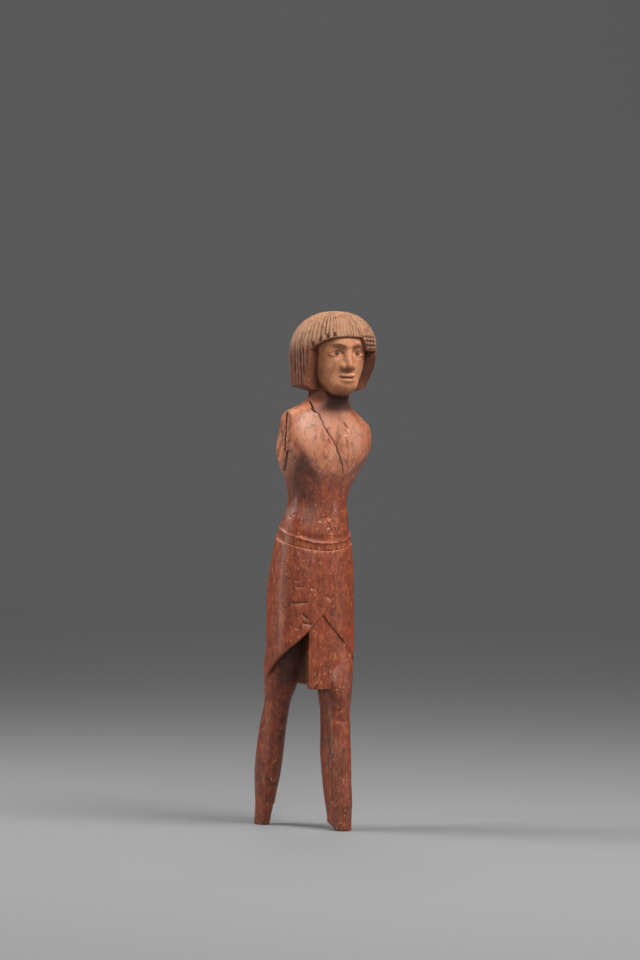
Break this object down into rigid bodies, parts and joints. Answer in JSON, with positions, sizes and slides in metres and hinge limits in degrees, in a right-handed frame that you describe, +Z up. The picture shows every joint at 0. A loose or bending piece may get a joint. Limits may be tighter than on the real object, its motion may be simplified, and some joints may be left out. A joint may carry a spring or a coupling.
{
  "type": "wooden figure",
  "caption": "Carved wooden figure of a striding man with a bobbed wig and belted wrap kilt; the arms and feet are lost and the legs end in broken ankles.",
  "frame": {"origin": "centre of the bounding box's underside, on the plane that the broken ankles stand on", "axes": "+Z up along the figure, +X to the figure's own left, -Y the way it faces"},
  "size_m": [0.0698, 0.0906, 0.3587],
  "materials": {
    "old_wood": "old reddish-brown carved wood, satin, with worn paint"
  },
  "bodies": {
    "root": {"figure": "old_wood"}
  },
  "joints": []
}
